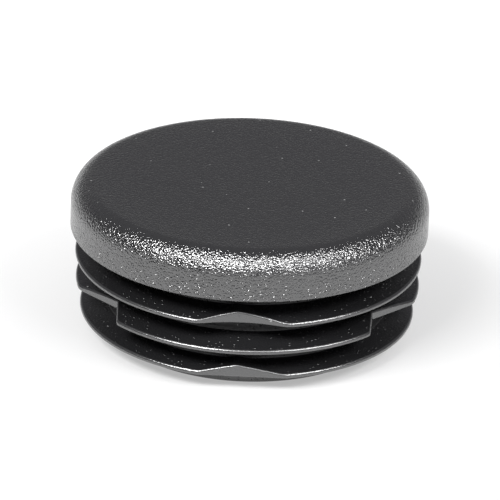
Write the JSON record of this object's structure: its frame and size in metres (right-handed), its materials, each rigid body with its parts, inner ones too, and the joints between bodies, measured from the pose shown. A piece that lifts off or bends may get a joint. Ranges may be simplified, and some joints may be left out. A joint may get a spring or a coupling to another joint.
{
  "type": "tube end cap",
  "caption": "Round ribbed tube end cap in black plastic: a thick head with a rounded edge over a hollow skirt with thin gripping fins.",
  "frame": {"origin": "middle of the skirt's open mouth, on the plane that the cap stands on", "axes": "+Z along the cap's axis, from the mouth of the skirt up to the head; +X and -X pass midway between the reliefs of the upper and lower fins, which face +Y and -Y"},
  "size_m": [0.05, 0.05, 0.0214],
  "materials": {
    "black_polyethylene": "black polyethylene with a coarse moulded grain"
  },
  "bodies": {
    "root": {"end_cap": "black_polyethylene"}
  },
  "joints": []
}
